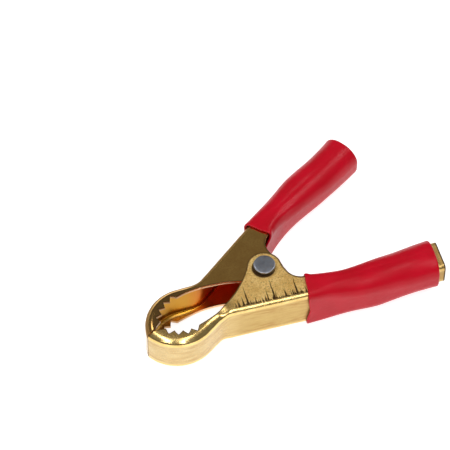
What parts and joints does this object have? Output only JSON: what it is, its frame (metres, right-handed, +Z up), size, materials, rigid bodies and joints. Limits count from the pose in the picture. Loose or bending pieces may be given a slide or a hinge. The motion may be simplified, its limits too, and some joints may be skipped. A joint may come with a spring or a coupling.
{
  "type": "alligator clip",
  "caption": "Spring-loaded alligator clip for battery and charger leads: pressed brass levers with toothed channel jaws on a rivet, soft red grips on splayed handles.",
  "frame": {"origin": "under the middle of the clip's bounding box, on the plane of its lowest point, the rivet's rolled tail, as it lies on its side", "axes": "+X along the clip's midline from the jaws to the handles, +Y towards the inner lever, +Z up along the rivet"},
  "size_m": [0.083, 0.0547, 0.0157],
  "materials": {
    "brass": "bright brass plating over pressed sheet, finely brushed, with draw marks at the bends",
    "rivet_steel": "zinc plated, satin",
    "spring_steel": "drawn wire, satin",
    "grip_pvc": "soft PVC, semi-gloss",
    "zinc_hardware": "zinc plated"
  },
  "bodies": {
    "outer_half": {"outer_lever": "brass", "outer_grip": "grip_pvc", "pivot_rivet": "rivet_steel", "torsion_spring": "spring_steel", "terminal_screw": "zinc_hardware", "clamp_washer": "zinc_hardware"},
    "inner_half": {"inner_lever": "brass", "inner_grip": "grip_pvc"}
  },
  "joints": [
    {"name": "jaw_hinge", "type": "hinge", "parent": "outer_half", "child": "inner_half", "pos_m": [-0.0034, 0, 0.0076], "axis": [0, 0, -1], "range_deg": [0, 40], "stiffness_Nm_per_rad": 0.45, "springref_deg": -34.38, "deforming": ["torsion_spring"]}
  ]
}
